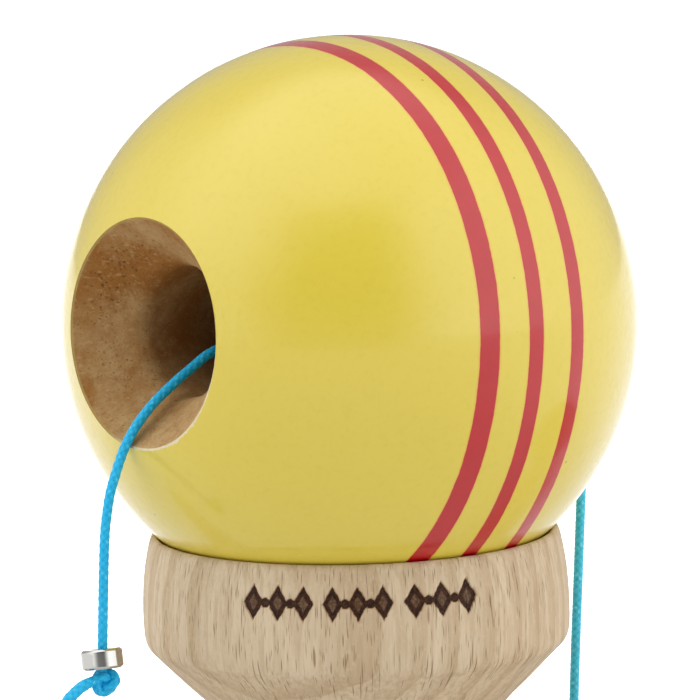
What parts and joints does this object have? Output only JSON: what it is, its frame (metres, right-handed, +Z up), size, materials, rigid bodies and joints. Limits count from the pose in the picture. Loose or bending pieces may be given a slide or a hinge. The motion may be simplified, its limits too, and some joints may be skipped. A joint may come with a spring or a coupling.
{
  "type": "kendama",
  "caption": "Wooden cup-and-ball skill toy: turned handle with spike, cross piece with two cups, and a lacquered, bored ball on a braided string with a steel bead.",
  "frame": {"origin": "centre of the small cup's rim, which the toy stands on", "axes": "+Z up through the small cup and the big cup; +X along the ken, from the spike towards the base cup; the string leaves the cross piece towards +Y"},
  "size_m": [0.162, 0.06, 0.1218],
  "materials": {
    "beech_ken": "sanded bare beech",
    "beech_cross": "sanded bare beech",
    "yellow_lacquer": "gloss yellow lacquer with three red rings over turned wood",
    "string_blue": "braided nylon",
    "bead_steel": "polished"
  },
  "bodies": {
    "ken_and_cross": {"ken": "beech_ken", "sarado": "beech_cross", "ken_knot": "string_blue", "string_ken_side": "string_blue", "string_coil": "string_blue", "string_fall": "string_blue"},
    "string_line": {"string_in_tama": "string_blue"},
    "ball": {"tama": "yellow_lacquer"},
    "string_end": {"string_hang": "string_blue", "string_tail": "string_blue", "end_knot": "string_blue"},
    "bead": {"end_bead": "bead_steel"}
  },
  "joints": [
    {"name": "tama_lift", "type": "slide", "parent": "ken_and_cross", "child": "string_line", "axis": [0, 0, 1], "range_m": [0, 0.1], "deforming": ["string_fall"]},
    {"name": "tama_spin", "type": "hinge", "parent": "string_line", "child": "ball", "pos_m": [0, 0, 0.09185], "axis": [-0.7642, -0.6412, 0.0698], "continuous": true},
    {"name": "string_swing", "type": "hinge", "parent": "string_line", "child": "string_end", "pos_m": [-0.02315, -0.01738, 0.08198], "axis": [-0.651, 0.759, 0], "range_deg": [-6, 50]},
    {"name": "bead_slide", "type": "slide", "parent": "string_end", "child": "bead", "axis": [0.046, 0.046, 0.9979], "range_m": [0, 0.009]}
  ]
}
